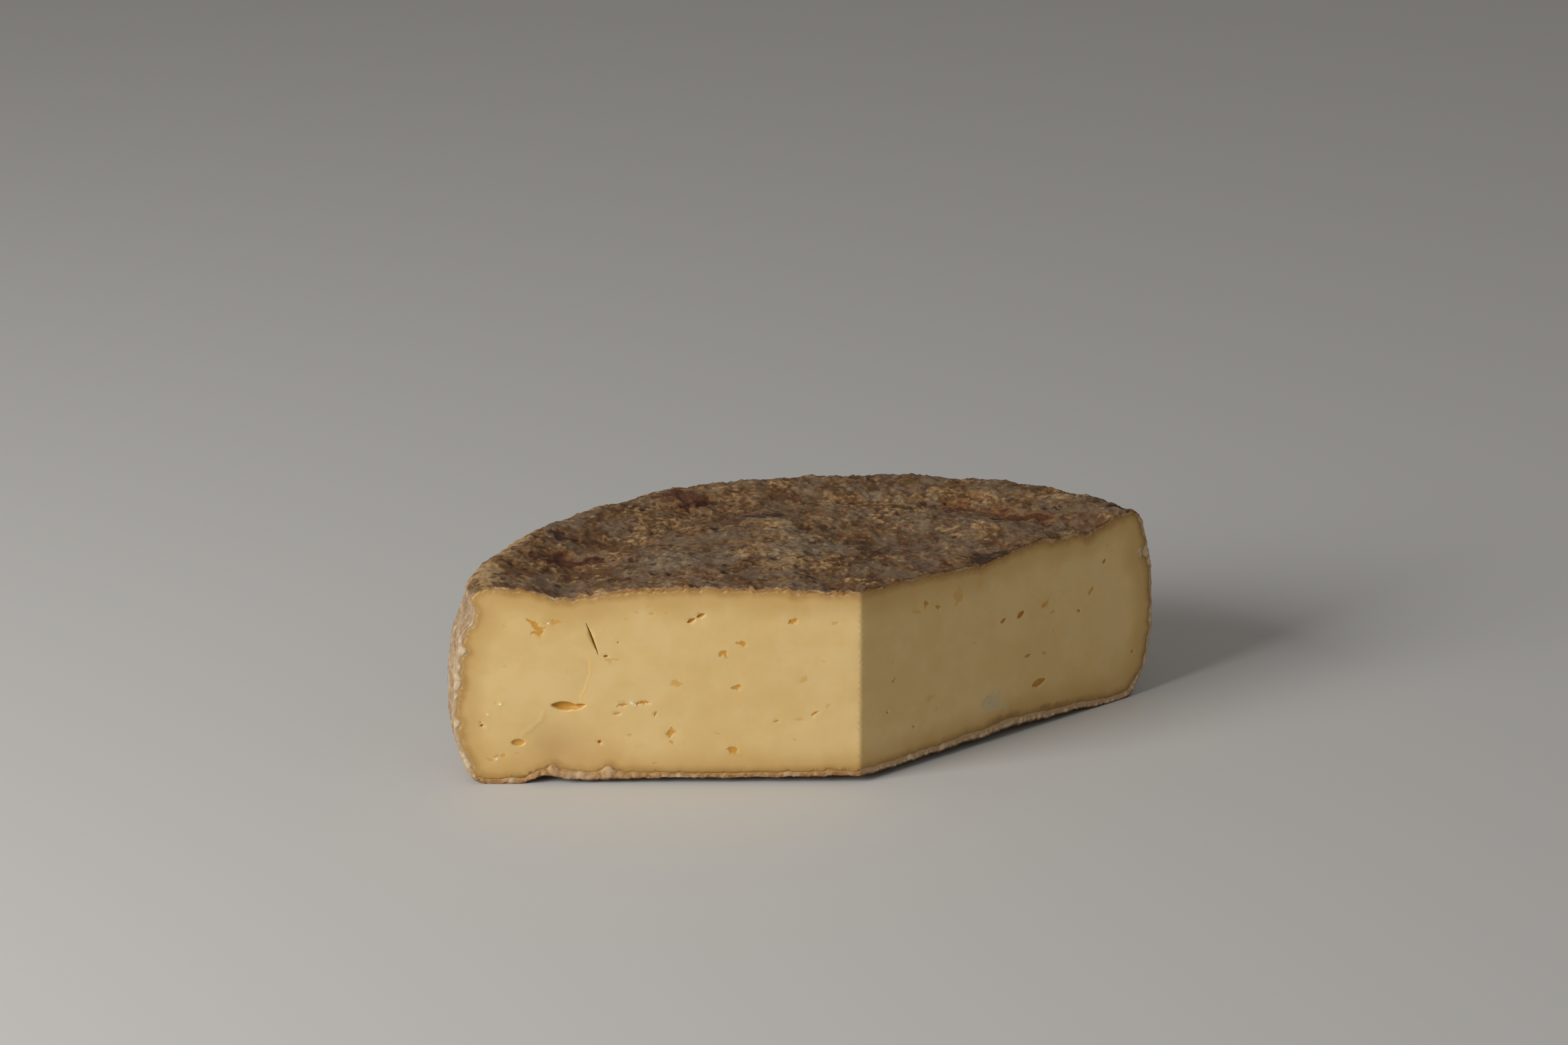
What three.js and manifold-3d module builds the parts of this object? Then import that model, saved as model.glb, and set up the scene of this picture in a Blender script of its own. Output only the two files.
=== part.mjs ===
// A cut part of a tomme: a low pressed cheese wheel with a natural rind. Two straight knife cuts that meet
// at the wheel's axis have taken its front away, and 140 degrees of it are left. Millimetres, +Z up.
// The wheel rests on a narrow ring of its underside. Its side bulges low down, its top dips behind the rim,
// and the cut faces show the cracks and the small flat eyes of the paste.
import * as THREE from "three";
import { mergeVertices, toCreasedNormals } from "three/addons/utils/BufferGeometryUtils.js";
import Module from "manifold-3d";

// The whole wheel
const wheelRadius = 106.8; // at the widest, about a third of the way up
const wheelHeight = 55.6; // to the top of the rim
const widestHeight = 0.36 * wheelHeight;
const topLean = 5.2; // how far the side has drawn in by the top
const bottomLean = 4.6; // and by the bottom
const topRound = 5; // size of the edge round the top
const bottomRound = 3.5;
const edgeFullness = 0.6; // how far the rounding of both edges stands out
const restingWidth = 7; // of the flat ring that the wheel rests on
const restingBlend = 12; // over which that ring meets the hollow underside
const profileStep = 4; // between points of the half section
const underStep = 10; // and on its underside
const turnSteps = 112; // round the wheel
const openingTurns = 12; // faces round each opening
const openingRings = 6;
const creaseAngle = 35; // degrees between faces, past which an edge is sharp
const weldGap = 1e-4; // points nearer than this are one point

// The two cuts, as directions from the axis, in degrees counted from +X towards +Y
const leftCut = 180;
const rightCut = 40;

// Soft swells of the side: where round the wheel, how far each spreads, and how far it stands out at the
// top and at the foot. The side is pinched in at the left cut and swells just behind it.
const swells = [
  { angle: 172, spread: 6, top: 4.3, foot: 3.5 },
  { angle: 152, spread: 12, top: 2.2, foot: 1.2 },
  { angle: 183, spread: 3.5, top: -2.8, foot: 0.4 },
  { angle: 52, spread: 12, top: 4.2, foot: 0.3 },
];

// Dips of the top, and hollows of the underside that lift it off the board. A dent with an angle is a patch
// round that direction, and one without is a ring.
const topDents = [
  { radius: 77.5, width: 7, depth: 2.9 },
  { radius: 42, width: 12, depth: 2.6, angle: 48, spread: 34 },
  { radius: 0, width: 24, depth: 1.2 },
];
const underHollows = [
  { radius: 0, width: 62, depth: 1.9 },
  { radius: 86, width: 4.5, depth: 2, angle: 178, spread: 9 },
  { radius: 57, width: 6, depth: 1.1, angle: 42, spread: 14 },
];

// Openings in a cut face: centre along the cut from the axis and up from the board, length, height and
// depth, and the turn of the long side in degrees, counted up from the way to the rim
const leftOpenings = [
  { along: 70.6, up: 40.9, length: 10, height: 0.9, depth: 5, turn: 71 },
  { along: 78.4, up: 21.9, length: 7.4, height: 2.5, depth: 4.5, turn: 0 },
  { along: 73.9, up: 21.9, length: 4.2, height: 1.3, depth: 1.6, turn: -14 },
  { along: 90.7, up: 11.6, length: 3.7, height: 2.1, depth: 2.2, turn: 0 },
  { along: 86.1, up: 45.3, length: 4, height: 1.4, depth: 1.6, turn: 40 },
  { along: 85, up: 42.9, length: 3.2, height: 1.3, depth: 1.2, turn: -25 },
  { along: 80.4, up: 45.7, length: 3.4, height: 1.3, depth: 1, turn: 6 },
  { along: 43.3, up: 46.7, length: 4.8, height: 1.1, depth: 1.6, turn: -27 },
  { along: 67.1, up: 36, length: 1.5, height: 0.9, depth: 1.6, turn: 0 },
  { along: 57.5, up: 22.8, length: 4.4, height: 0.9, depth: 1.2, turn: -8 },
  { along: 63, up: 22.3, length: 3.4, height: 0.9, depth: 1, turn: -5 },
  { along: 50.7, up: 13.9, length: 1.8, height: 3.6, depth: 1.3, turn: 10 },
];
const rightOpenings = [
  { along: 64.9, up: 12.8, length: 5.6, height: 1.9, depth: 2.6, turn: 8 },
  { along: 57.5, up: 34.1, length: 2.6, height: 1.6, depth: 1.8, turn: 25 },
  { along: 51.2, up: 34, length: 1.9, height: 1, depth: 1.2, turn: 15 },
  { along: 66.4, up: 35.1, length: 3, height: 1.6, depth: 1, turn: 30 },
  { along: 89, up: 42.7, length: 1.8, height: 1.3, depth: 1.2, turn: 40 },
  { along: 60.6, up: 21.7, length: 2.2, height: 1, depth: 1, turn: 10 },
];

const kernel = await Module();
kernel.setup();

const radians = THREE.MathUtils.degToRad;

function bump(distance, width) {
  return Math.exp(-0.5 * (distance / width) ** 2);
}

// Half of the wheel's section, from the foot of the axis round the side to its top
function halfSection() {
  const topEdge = wheelRadius - topLean;
  const bottomEdge = wheelRadius - bottomLean;
  const rest = bottomEdge - bottomRound;
  const path = new THREE.Path();
  path.moveTo(0, 0);
  path.lineTo(rest - restingWidth, 0);
  path.lineTo(rest, 0);
  path.quadraticCurveTo(bottomEdge - edgeFullness, 0, bottomEdge + edgeFullness, bottomRound);
  path.quadraticCurveTo(wheelRadius, widestHeight / 2, wheelRadius, widestHeight);
  path.quadraticCurveTo(wheelRadius, (wheelHeight + widestHeight) / 2, topEdge, wheelHeight - topRound);
  path.quadraticCurveTo(topEdge - edgeFullness, wheelHeight, topEdge - topRound, wheelHeight);
  path.lineTo(0, wheelHeight);
  const points = path.curves.flatMap((curve, index) => {
    const step = index === 0 ? underStep : profileStep;
    const steps = Math.max(2, Math.round(curve.getLength() / step));
    return curve.getSpacedPoints(steps).slice(1);
  });
  return [new THREE.Vector2(0, 0), ...points];
}

function dentDepth(dents, radius, degrees) {
  return dents.reduce((sum, dent) => {
    const round = dent.spread ? bump(degrees - dent.angle, dent.spread) : 1;
    return sum + dent.depth * round * bump(radius - dent.radius, dent.width);
  }, 0);
}

// The whole wheel: the half section turned round the axis, then swollen, dipped and hollowed
function wholeWheel() {
  const geometry = new THREE.LatheGeometry(halfSection(), turnSteps);
  geometry.rotateX(Math.PI / 2);
  const places = geometry.getAttribute("position");
  const restInner = wheelRadius - bottomLean - bottomRound - restingWidth;
  for (let i = 0; i < places.count; i++) {
    const x = places.getX(i);
    const y = places.getY(i);
    const z = places.getZ(i);
    const radius = Math.hypot(x, y);
    const degrees = THREE.MathUtils.euclideanModulo(THREE.MathUtils.radToDeg(Math.atan2(y, x)), 360);
    const share = z / wheelHeight;
    const outward = swells.reduce((sum, swell) => {
      const rise = THREE.MathUtils.lerp(swell.foot, swell.top, share);
      return sum + rise * bump(degrees - swell.angle, swell.spread);
    }, 0);
    const grown = 1 + (outward / wheelRadius) * (radius / wheelRadius) ** 3;
    const flat = THREE.MathUtils.smoothstep(radius, restInner - restingBlend, restInner);
    const lift = dentDepth(underHollows, radius, degrees) * (1 - flat) * (1 - share);
    const sink = dentDepth(topDents, radius, degrees) * share;
    places.setXYZ(i, x * grown, y * grown, z + lift - sink);
  }
  return solidOf(geometry);
}

// What the two cuts leave: a sector wider than the wheel
function keptSector() {
  const reach = wheelRadius * 2; // well past the wheel, above it and under it too
  const sector = new THREE.Shape();
  sector.moveTo(0, 0);
  for (const degrees of [rightCut, (leftCut + rightCut) / 2, leftCut]) {
    sector.lineTo(reach * Math.cos(radians(degrees)), reach * Math.sin(radians(degrees)));
  }
  sector.closePath();
  const geometry = new THREE.ExtrudeGeometry(sector, { depth: reach, bevelEnabled: false });
  geometry.translate(0, 0, (wheelHeight - reach) / 2);
  return solidOf(geometry);
}

// A lens-shaped opening, centred on the cut face that stands in the direction of the given cut
function opening({ along, up, length, height, depth, turn }, cut) {
  const geometry = new THREE.SphereGeometry(0.5, openingTurns, openingRings);
  geometry.scale(length, depth * 2, height);
  geometry.rotateY(-radians(turn));
  geometry.translate(along, 0, up);
  geometry.rotateZ(radians(cut));
  return solidOf(geometry);
}

function solidOf(geometry) {
  const bare = geometry.index ? geometry.toNonIndexed() : geometry.clone();
  bare.deleteAttribute("normal");
  bare.deleteAttribute("uv");
  const merged = mergeVertices(bare, weldGap);
  return new kernel.Manifold(
    new kernel.Mesh({
      numProp: 3,
      vertProperties: new Float32Array(merged.getAttribute("position").array),
      triVerts: new Uint32Array(merged.index.array),
    }),
  );
}

function geometryOf(solid) {
  const mesh = solid.getMesh();
  const geometry = new THREE.BufferGeometry();
  geometry.setAttribute("position", new THREE.BufferAttribute(mesh.vertProperties, mesh.numProp));
  geometry.setIndex(new THREE.BufferAttribute(mesh.triVerts, 1));
  return toCreasedNormals(geometry, radians(creaseAngle));
}

function cutCheese() {
  let cheese = wholeWheel().intersect(keptSector());
  for (const place of leftOpenings) {
    cheese = cheese.subtract(opening(place, leftCut));
  }
  for (const place of rightOpenings) {
    cheese = cheese.subtract(opening(place, rightCut));
  }
  const geometry = geometryOf(cheese);
  geometry.computeBoundingBox();
  const middle = geometry.boundingBox.getCenter(new THREE.Vector3());
  geometry.translate(-middle.x, -middle.y, -geometry.boundingBox.min.z);
  const material = new THREE.MeshStandardMaterial({ color: 0xdcc08a, roughness: 0.6, metalness: 0 });
  const mesh = new THREE.Mesh(geometry, material);
  mesh.name = "cut_tomme";
  return mesh;
}

const tomme = new THREE.Group();
tomme.add(cutCheese());

export default tomme;
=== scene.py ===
import math
import random

import bpy
import numpy as np
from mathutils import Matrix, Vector, noise
from mathutils.geometry import delaunay_2d_cdt


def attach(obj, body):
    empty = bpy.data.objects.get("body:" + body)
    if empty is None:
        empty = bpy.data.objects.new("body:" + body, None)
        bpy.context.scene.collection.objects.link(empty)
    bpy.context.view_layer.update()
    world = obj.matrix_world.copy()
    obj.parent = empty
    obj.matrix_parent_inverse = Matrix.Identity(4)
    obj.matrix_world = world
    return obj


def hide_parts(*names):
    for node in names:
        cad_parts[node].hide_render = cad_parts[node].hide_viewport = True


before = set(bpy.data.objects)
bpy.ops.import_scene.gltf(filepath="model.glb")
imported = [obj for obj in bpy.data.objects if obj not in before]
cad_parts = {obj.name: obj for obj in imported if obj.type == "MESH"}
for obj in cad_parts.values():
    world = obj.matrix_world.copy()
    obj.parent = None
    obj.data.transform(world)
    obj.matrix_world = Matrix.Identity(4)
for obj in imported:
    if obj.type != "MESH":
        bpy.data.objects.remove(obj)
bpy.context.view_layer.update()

# The cheese is worked out in millimetres about the wheel's axis, up from what it stands on, and its mesh
# is moved into the frame at the end. A place on the wheel's skin is its way down the half section from the
# middle of the top, and its turn round the axis.
mm = 0.001
node = "cut_tomme"
cadPoints = np.array([vertex.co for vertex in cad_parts[node].data.vertices])
onLeftCut = cadPoints[:, 1] < cadPoints[:, 1].min() + 0.01 * mm
axisAt = Vector((cadPoints[onLeftCut, 0].max(), cadPoints[:, 1].min(), 0))

wheel = {
    "radius": 106.8,        # at the widest
    "height": 55.6,         # to the top of the rim
    "widestAt": 0.36,       # of the height
    "topLean": 5.2,         # how far the side draws in by the top
    "footLean": 4.6,        # and by the foot
    "topRound": 5.0,
    "footRound": 3.5,
    "fullness": 0.6,        # how far the rounded edges stand out
    "restWidth": 7.0,       # of the ring that the wheel rests on
    "restBlend": 12.0,
    "ledgesFrom": (88, 97), # how far out the ledges of the side set in
    "softening": 1.6,       # of all the section's corners
    "leftCut": 180.0,       # the two cuts' directions, in degrees
    "rightCut": 40.0,
}

# Soft swells of the side: direction, spread in degrees, how far out at the top and at the foot
swells = [
    {"angle": 172, "spread": 6, "top": 4.3, "foot": 3.5},
    {"angle": 152, "spread": 12, "top": 2.2, "foot": 1.2},
    {"angle": 183, "spread": 3.5, "top": -2.8, "foot": 0.4},
    {"angle": 52, "spread": 12, "top": 4.2, "foot": 0.3},
]
# Small ledges of the side by the left cut: direction, spread in degrees, height, how tall, how far out
ledges = [
    {"angle": 180, "spread": 4, "height": 46.8, "tall": 2.2, "out": -1.4},
    {"angle": 180, "spread": 4, "height": 41.3, "tall": 1.9, "out": 1.0},
    {"angle": 181, "spread": 4, "height": 53.2, "tall": 1.8, "out": 2.2},
]
topDents = [
    {"radius": 77.5, "width": 6.5, "deep": 2.5},
    {"radius": 64, "width": 10, "deep": 1.1, "angle": 178, "spread": 35},
    {"radius": 42, "width": 12, "deep": 2.6, "angle": 48, "spread": 34},
    {"radius": 0, "width": 24, "deep": 1.2},
]
underHollows = [
    {"radius": 0, "width": 62, "deep": 1.9},
    {"radius": 86, "width": 4.5, "deep": 2.0, "angle": 178, "spread": 9},
    {"radius": 57, "width": 6, "deep": 1.1, "angle": 42, "spread": 14},
]


def bump(distance, width):
    return np.exp(-0.5 * (distance / width) ** 2)


def smoothStep(value, low, high):
    share = np.clip((value - low) / (high - low), 0, 1)
    return share * share * (3 - 2 * share)


# The half section

def curve(start, bend, end, count=60):
    t = np.linspace(0, 1, count)[:, None]
    return (1 - t) ** 2 * np.array(start) + 2 * t * (1 - t) * np.array(bend) + t ** 2 * np.array(end)


def straight(start, end):
    middle = [(a + b) / 2 for a, b in zip(start, end)]
    return curve(start, middle, end)


def halfSection(step=0.25):
    w = wheel
    high = w["height"]
    top = w["radius"] - w["topLean"]
    foot = w["radius"] - w["footLean"]
    widest = w["widestAt"] * high
    full = w["fullness"]
    runs = [
        straight((0, high), (top - w["topRound"], high)),
        curve((top - w["topRound"], high), (top - full, high), (top, high - w["topRound"])),
        curve((top, high - w["topRound"]), (w["radius"], (high + widest) / 2), (w["radius"], widest)),
        curve((w["radius"], widest), (w["radius"], widest / 2), (foot + full, w["footRound"])),
        curve((foot + full, w["footRound"]), (foot - full, 0), (foot - w["footRound"], 0)),
        straight((foot - w["footRound"], 0), (0, 0)),
    ]
    path = np.concatenate([run[1:] for run in runs])
    path = np.vstack([runs[0][:1], path])
    way = np.concatenate([[0], np.cumsum(np.hypot(*np.diff(path, axis=0).T))])
    even = np.arange(0, way[-1], step)
    r = np.interp(even, way, path[:, 0])
    z = np.interp(even, way, path[:, 1])
    # the corners are softened, with the section carried on past the axis at both ends
    reach = int(3 * w["softening"] / step)
    kernel = bump(np.arange(-reach, reach + 1) * step, w["softening"])
    kernel /= kernel.sum()
    r = np.convolve(np.concatenate([-r[reach:0:-1], r, -r[-2:-reach - 2:-1]]), kernel, "valid")
    z = np.convolve(np.concatenate([z[reach:0:-1], z, z[-2:-reach - 2:-1]]), kernel, "valid")
    return {
        "way": even, "r": r, "z": z, "slopeR": np.gradient(r, even), "slopeZ": np.gradient(z, even),
        "whole": even[-1],
    }


section = halfSection()
whole = section["whole"]
equator = float(section["way"][np.argmax(section["r"])])


def sectionAt(key, way):
    return np.interp(way, section["way"], section[key])


def dentDepth(dents, radius, degrees):
    total = 0
    for dent in dents:
        near = bump(degrees - dent["angle"], dent["spread"]) if "angle" in dent else 1
        total = total + dent["deep"] * near * bump(radius - dent["radius"], dent["width"])
    return total


def skinPlaces(way, turn):
    # the smooth skin of the whole wheel, and the way out of it
    r = sectionAt("r", way)
    z = sectionAt("z", way)
    degrees = np.degrees(turn)
    share = z / wheel["height"]
    rise = 0
    for swell in swells:
        rise = rise + (swell["foot"] * (1 - share) + swell["top"] * share) * bump(
            degrees - swell["angle"], swell["spread"])
    wide = r * (1 + rise / wheel["radius"] * (r / wheel["radius"]) ** 3)
    for ledge in ledges:
        near = bump(degrees - ledge["angle"], ledge["spread"]) * smoothStep(r, *wheel["ledgesFrom"])
        wide = wide + ledge["out"] * near * bump(z - ledge["height"], ledge["tall"])
    restInner = wheel["radius"] - wheel["footLean"] - wheel["footRound"] - wheel["restWidth"]
    flat = smoothStep(r, restInner - wheel["restBlend"], restInner)
    lift = dentDepth(underHollows, r, degrees) * (1 - flat) * (1 - share)
    sink = dentDepth(topDents, r, degrees) * share
    places = np.stack([wide * np.cos(turn), wide * np.sin(turn), z + lift - sink], 1)
    slopeZ = sectionAt("slopeZ", way)
    outward = np.stack([-slopeZ * np.cos(turn), -slopeZ * np.sin(turn), sectionAt("slopeR", way)], 1)
    return places, outward / np.linalg.norm(outward, axis=1)[:, None]


# The two cuts: along runs from the axis to the rim, outward is where the face looks
cuts = {}
for name, degrees, side in (("left", wheel["leftCut"], 1), ("right", wheel["rightCut"], -1)):
    turn = math.radians(degrees)
    cuts[name] = {
        "turn": turn,
        "along": np.array([math.cos(turn), math.sin(turn), 0]),
        "outward": np.array([-math.sin(turn), math.cos(turn), 0]) * side,
    }


def inPlane(cut, along, up):
    return along[:, None] * cut["along"] + np.stack([0 * up, 0 * up, up], 1)


# Triangles over the skin. The skin is rolled out into two flat sectors that meet at the widest part.

def gridPoints(width, height, gap, shake=0.18):
    rows = np.arange(0, height, gap * math.sqrt(0.75))
    points = []
    for number, row in enumerate(rows):
        along = np.arange(0.5 * gap * (number % 2), width, gap)
        points.append(np.stack([along, np.full_like(along, row)], 1))
    points = np.concatenate(points)
    draw = np.random.default_rng(len(points))
    return points + draw.uniform(-shake, shake, points.shape) * gap


def fillRing(ring, inside):
    # triangles between a closed ring of points and the points inside it, which may come back in fewer
    count = len(ring)
    edges = [(i, (i + 1) % count) for i in range(count)]
    points = [Vector(p) for p in np.concatenate([ring, inside])]
    places, _, faces, origins, _, _ = delaunay_2d_cdt(points, edges, [], 1, 1e-7)
    known = [min(origin) if origin and min(origin) < count else None for origin in origins]
    return np.array([tuple(p) for p in places]), faces, known


def rolledOut(way, turn):
    return np.stack([way * np.cos(turn), way * np.sin(turn)], 1)


def skinMesh(cutWays, overGaps, underGaps):
    # ways and turns of points over the skin, its triangles, each triangle's sector, which is 0 over the
    # widest part and 1 under it, and the points along each cut; gaps are (way, gap) steps from the middle
    low, high = cuts["right"]["turn"], cuts["left"]["turn"]
    last = len(cutWays) - 1
    arc = np.linspace(low, high, int((high - low) * equator / overGaps[-1][1]))[1:-1]
    ways = list(cutWays) + list(cutWays[1:-1]) + [equator] * len(arc)
    turns = [low] * (last + 1) + [high] * (last - 1) + list(arc)
    lines = {"right": list(range(last + 1)), "left": [0] + list(range(last + 1, 2 * last)) + [last]}
    rim = list(range(2 * last, 2 * last + len(arc)))
    meet = int(np.argmin(np.abs(cutWays - equator)))
    faces, sides = [], []
    for side, gaps in enumerate((overGaps, underGaps)):
        near, far = [line[meet:][::-1] if side else line[:meet + 1] for line in lines.values()]
        border = near + rim + far[::-1][:-1]
        reach = whole - equator if side else equator
        away = np.array([ways[i] for i in border])
        away = whole - away if side else away
        ring = rolledOut(away, np.array([turns[i] for i in border]))
        inside = []
        starts = [start for start, _ in gaps] + [reach]
        for (start, gap), end in zip(gaps, starts[1:]):
            margin = 0.6 * gap      # kept clear of the border
            points = gridPoints(2 * reach, reach, gap) - [reach, 0]
            way = np.hypot(points[:, 0], points[:, 1])
            turn = np.arctan2(points[:, 1], points[:, 0])
            clear = np.minimum(turn - low, high - turn) * way
            mine = (way > start) & (way < end - margin * (end == reach)) & (clear > margin)
            inside.append(points[mine])
        places, found, known = fillRing(ring, np.concatenate(inside))
        names = []
        for (x, y), index in zip(places, known):
            if index is None:
                names.append(len(ways))
                away = math.hypot(x, y)
                ways.append(whole - away if side else away)
                turns.append(math.atan2(y, x))
            else:
                names.append(border[index])
        for a, b, c in found:
            faces.append((names[a], names[c], names[b]) if side else (names[a], names[b], names[c]))
            sides.append(side)
    return np.array(ways), np.array(turns), faces, sides, lines


# Relief of the rind

rind = {
    "gap": 0.7,             # between points of the top and the side
    "underGap": 1.6,        # and of the underside
    "underRing": 24,        # but for a ring this wide at its rim
    "edgeGap": 0.36,        # along the cuts
    "hiddenGap": 4.0,       # and where it can't be seen
    "waves": 0.45,          # heights of the relief, from wide to fine
    "crust": 0.5,
    "plates": 0.3,
    "folds": 0.24,
    "grains": 0.2,
    "cracks": 0.12,
    "pits": 0.4,
    "sunken": 0.3,          # how far the dark red patches lie lower
    "lowest": -1.1,
    "dustDown": (4, 26),    # down from the top, where powder gets thick on the side
    "dustOut": (85, 104),   # from the axis, where it sets in on the top
    "hidden": 1.9,          # thickness where it can't be seen
    "proud": 0.15,          # how far its cut edge stands out of the paste
    "overlap": 0.5,         # how far it reaches into the paste behind the cut face
}
# Sizes of the relief in millimetres, with octaves and seed, and of its cells, with seed
reliefNoises = {
    "waves": (26, 2, 1), "crust": (6.5, 5, 2), "plates": (9, 4, 3), "folds": (5.5, 3, 8),
    "strength": (12, 2, 5),
}
reliefCells = {"grains": (1.9, 4), "pits": (7.5, 6)}

# Patches of the top by kind: place in millimetres from the axis, half length, half width, turn
topPatches = {
    "russet": [
        (-75.4, 27.3, 16, 4.6, 0), (-48.1, 76.5, 9, 7, 0), (28.2, 72.5, 8, 7, 0),
        (45.8, 63.7, 12, 5, -10),
    ],
    "maroon": [
        (-68, 28, 9, 3, 4), (-83, 29, 6, 2.4, -5), (-80.4, 43.9, 3.4, 3, 0), (-92, 38, 2.4, 2, 0),
        (-45, 74, 4, 3.4, 0), (24, 75, 4, 3, 0), (40, 60, 6, 2.6, -6), (53, 68, 5, 2.4, 0),
        (73.5, 67.5, 6, 4, 40),
    ],
    "bloom": [(-49.0, 23.1, 19, 12, 8), (-14, 34, 13, 11, 0), (4, 84, 10, 5, 0)],
    "pale": [
        (-93, 44, 11, 4, 64), (-79, 63, 13, 4, 52), (-60, 80, 11, 4, 38), (-96, 36, 6, 14, -22),
        (-99, 12, 5, 13, 0), (23.7, 51.0, 5, 2.2, 0),
    ],
    "dark": [(36, 31, 10, 4.5, 40), (-28, 62, 8, 5, 0)],
}
# More of them over the side and the underside
scattered = {
    "count": 26,
    "seed": 5,
    "pastRadius": 4,        # from this far past the radius, as a way over the skin
    "fromMiddle": 15,       # to this far from the middle of the underside
    "fromRightCut": 6,      # degrees
    "fromLeftCut": 8,
    "shortest": 4,          # half lengths
    "longest": 13,
    "slender": (0.35, 0.6), # half width as a share of the half length
    "kinds": ["russet", "russet", "maroon", "bloom", "bloom", "dark"],
}
patchEdge = {"size": 7, "octaves": 3, "seeds": (21, 22, 23), "wander": 5, "soft": (0.45, 1.35)}

# Single lumps and nicks of the skin by the cut edges: cut, place along and up, rise, width
knobs = [
    ("right", 77.2, 54.2, 0.9, 1.8),
    ("right", 43.1, 52.6, -1.0, 2.0),
    ("left", 97.5, 54.6, 0.5, 2.4),
]

# Large crumbs in the cut edges: place along the cut and up, depth under the skin, radius
lumps = {
    "left": [
        (105, 37.9, 1.5, 1.3), (106, 33.2, 1.1, 0.8), (106, 30.4, 1.0, 1.0), (106, 28.4, 1.2, 1.1),
        (106, 24.9, 0.9, 0.8), (106, 17.2, 1.1, 1.1), (104, 8.1, 1.0, 0.8), (103, 5.3, 1.1, 1.0),
        (85.5, 0, 1.0, 0.9), (80.6, 0, 1.8, 1.7), (77.4, 0, 1.5, 1.2), (73.8, 0, 1.3, 1.3),
        (70.2, 0, 1.2, 0.8), (66.8, 0, 2.2, 1.9), (63.4, 0, 1.4, 1.1), (59.6, 0, 1.2, 1.0),
        (53.9, 0, 1.1, 0.9),
    ],
    "right": [
        (104, 42.3, 1.0, 1.6), (105, 38.8, 0.7, 0.9), (106, 24.0, 0.6, 0.7), (106, 21.5, 0.7, 0.8),
        (105, 10.5, 0.7, 0.7), (86.5, 55, 0.9, 0.7), (82.3, 55, 1.2, 1.0), (73.5, 55, 1.0, 0.8),
        (68.4, 55, 1.1, 0.9),
    ],
}


def noiseAt(places, size, octaves, seed):
    shift = Vector((seed * 17.3, seed * 7.9, seed * 3.1))
    return np.array([
        noise.fractal(Vector(p) / size + shift, 0.6, 2.1, octaves, noise_basis="PERLIN_ORIGINAL")
        for p in places])


def cellsAt(places, size, seed):
    # distances to the nearest and next nearest of points strewn about one per size
    shift = Vector((seed * 5.7, seed * 2.3, seed * 11.9))
    found = [noise.voronoi(Vector(p) / size + shift)[0][:2] for p in places]
    return np.array(found).T


def patchList():
    # each patch: kind, middle, a direction in the skin, half length, half width
    found = []
    for kind, rows in topPatches.items():
        for x, y, long, wide, turn in rows:
            sink = dentDepth(topDents, math.hypot(x, y), math.degrees(math.atan2(y, x)))
            middle = np.array([x, y, wheel["height"] - sink])
            a = math.radians(turn)
            found.append((kind, middle, np.array([math.cos(a), math.sin(a), 0]), long, wide))
    s = scattered
    first = math.radians(wheel["rightCut"] + s["fromRightCut"])
    last = math.radians(wheel["leftCut"] - s["fromLeftCut"])
    draw = random.Random(s["seed"])
    for _ in range(s["count"]):
        way = draw.uniform(wheel["radius"] + s["pastRadius"], whole - s["fromMiddle"])
        turn = draw.uniform(first, last)
        place, outward = skinPlaces(np.array([way]), np.array([turn]))
        level = np.array([-math.sin(turn), math.cos(turn), 0])
        across = np.cross(level, outward[0])
        a = draw.uniform(-0.5, 0.5)
        long = draw.uniform(s["shortest"], s["longest"])
        kind = draw.choice(s["kinds"])
        along = level * math.cos(a) + across * math.sin(a)
        found.append((kind, place[0], along, long, long * draw.uniform(*s["slender"])))
    return found


def patchMasks(places):
    e = patchEdge
    warps = [noiseAt(places, e["size"], e["octaves"], seed) for seed in e["seeds"]]
    warp = np.stack(warps, 1) * e["wander"]
    masks = {kind: np.zeros(len(places)) for kind in topPatches}
    for kind, middle, way, long, wide in patchList():
        off = places + warp - middle
        along = off @ way
        across = np.linalg.norm(off - along[:, None] * way, axis=1)
        value = 1 - smoothStep(np.hypot(along / long, across / wide), *e["soft"])
        masks[kind] = np.maximum(masks[kind], value)
    return masks


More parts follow.
